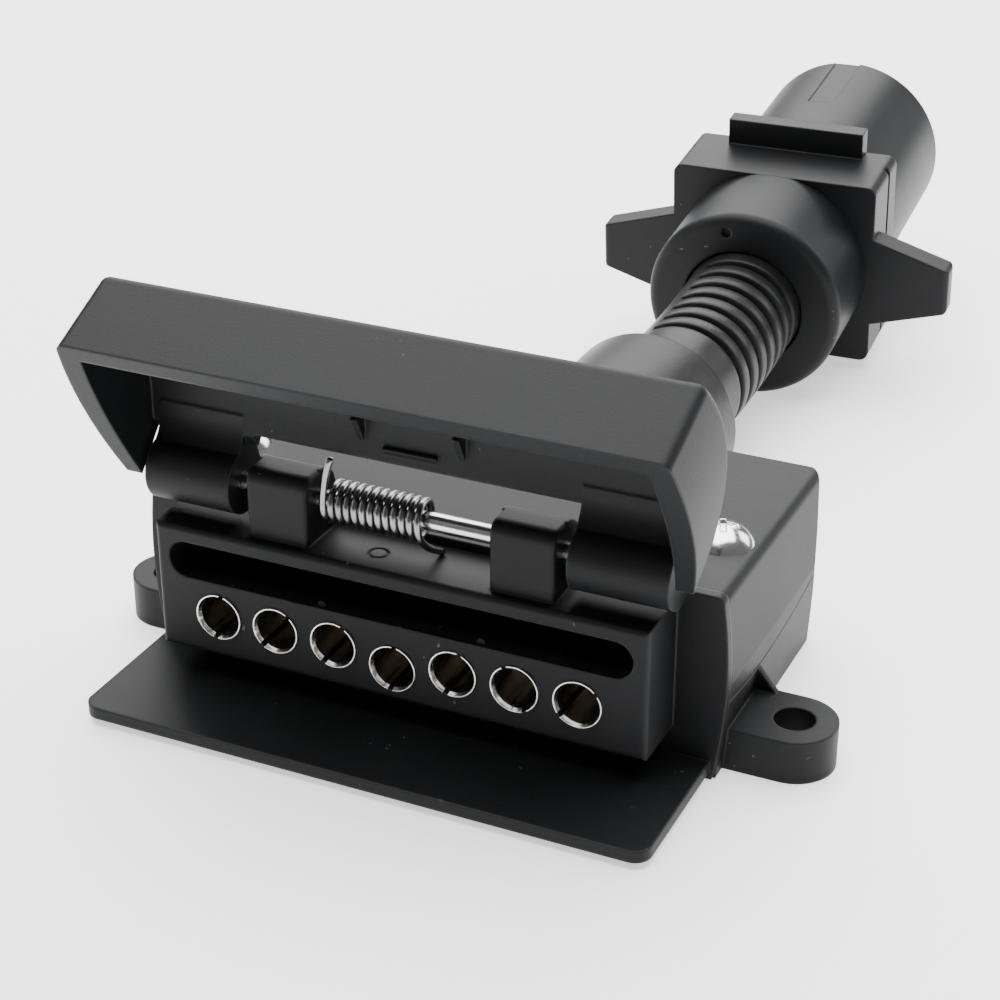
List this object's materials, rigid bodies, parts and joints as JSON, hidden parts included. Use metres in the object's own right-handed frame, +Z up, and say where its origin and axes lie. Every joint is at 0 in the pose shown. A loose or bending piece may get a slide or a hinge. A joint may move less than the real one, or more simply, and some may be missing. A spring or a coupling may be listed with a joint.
{
  "type": "trailer wiring connector",
  "caption": "Adapter between a flat trailer socket with a sprung lid and a round trailer plug, joined by a short slotted rubber boot.",
  "frame": {"origin": "on the base plane of the socket, below the middle contact and in line with the two mounting-ear holes", "axes": "+Y along the cable from the socket to the plug, -Y out of the socket's face, +X to the right seen from the mating side, +Z up out of the base"},
  "size_m": [0.0915, 0.1811, 0.0511],
  "materials": {
    "housing_plastic": "black glass-filled nylon with a fine satin grain",
    "cover_plastic": "black glass-filled nylon with a fine satin grain",
    "lid_plastic": "black glass-filled nylon with a fine satin grain",
    "plug_plastic": "black nylon, smoother and a little glossier on its flat sides",
    "cap_plastic": "black nylon with a fine satin grain",
    "retainer_plastic": "dark grey nylon",
    "clamp_plastic": "dark grey nylon",
    "insert_plastic": "black moulded insulator",
    "boot_rubber": "soft black rubber, faintly mottled",
    "contact_nickel": "bright nickel plate over brass, brass-coloured inside the bore",
    "pin_brass": "bright turned brass",
    "terminal_brass": "small slotted brass screws",
    "screw_chrome": "bright plated dome head",
    "screw_zinc": "zinc-plated steel",
    "steel_pin": "bright drawn steel",
    "spring_steel": "bright plated spring wire",
    "wire_yellow": "soft yellow insulation",
    "wire_blue": "soft blue insulation",
    "wire_white": "soft white insulation",
    "wire_green": "soft green insulation",
    "wire_brown": "soft brown insulation",
    "wire_red": "soft red insulation",
    "wire_black": "soft black insulation"
  },
  "bodies": {
    "socket": {"socket_housing": "housing_plastic", "rear_cover": "cover_plastic", "cover_screws": "screw_chrome", "hinge_pin": "steel_pin", "lid_spring": "spring_steel", "contact_screws": "terminal_brass", "contact_retainer": "retainer_plastic", "cable_clamp": "clamp_plastic", "clamp_screws": "screw_zinc", "boot_neck": "boot_rubber", "contact_1": "contact_nickel", "wire_1": "wire_yellow", "contact_2": "contact_nickel", "wire_2": "wire_blue", "contact_3": "contact_nickel", "wire_3": "wire_white", "contact_4": "contact_nickel", "wire_4": "wire_green", "contact_5": "contact_nickel", "wire_5": "wire_brown", "contact_6": "contact_nickel", "wire_6": "wire_red", "contact_7": "contact_nickel", "wire_7": "wire_black"},
    "lid": {"lid": "lid_plastic", "spring_arm": "spring_steel"},
    "boot_middle": {"boot_flex": "boot_rubber"},
    "plug": {"boot_end": "boot_rubber", "gland_cap": "cap_plastic", "plug_body": "plug_plastic", "plug_insert": "insert_plastic", "insert_screw": "screw_zinc", "plug_pin_1": "pin_brass", "plug_wire_1": "wire_yellow", "plug_pin_2": "pin_brass", "plug_wire_2": "wire_blue", "plug_pin_3": "pin_brass", "plug_wire_3": "wire_white", "plug_pin_4": "pin_brass", "plug_wire_4": "wire_green", "plug_pin_5": "pin_brass", "plug_wire_5": "wire_brown", "plug_pin_6": "pin_brass", "plug_wire_6": "wire_red", "plug_pin_7": "pin_brass", "plug_wire_7": "wire_black"}
  },
  "joints": [
    {"name": "lid_hinge", "type": "hinge", "parent": "socket", "child": "lid", "pos_m": [0, -0.011, 0.0269], "axis": [1, 0, 0], "range_deg": [0, 133]},
    {"name": "boot_bend_side", "type": "hinge", "parent": "socket", "child": "boot_middle", "pos_m": [0.0042, 0.076, 0.013], "axis": [0, 0, 1], "range_deg": [-15, 15], "deforming": ["boot_flex"]},
    {"name": "boot_bend_up", "type": "hinge", "parent": "boot_middle", "child": "plug", "pos_m": [0.0042, 0.076, 0.013], "axis": [1, 0, 0], "range_deg": [-15, 15], "deforming": ["boot_flex"]}
  ]
}
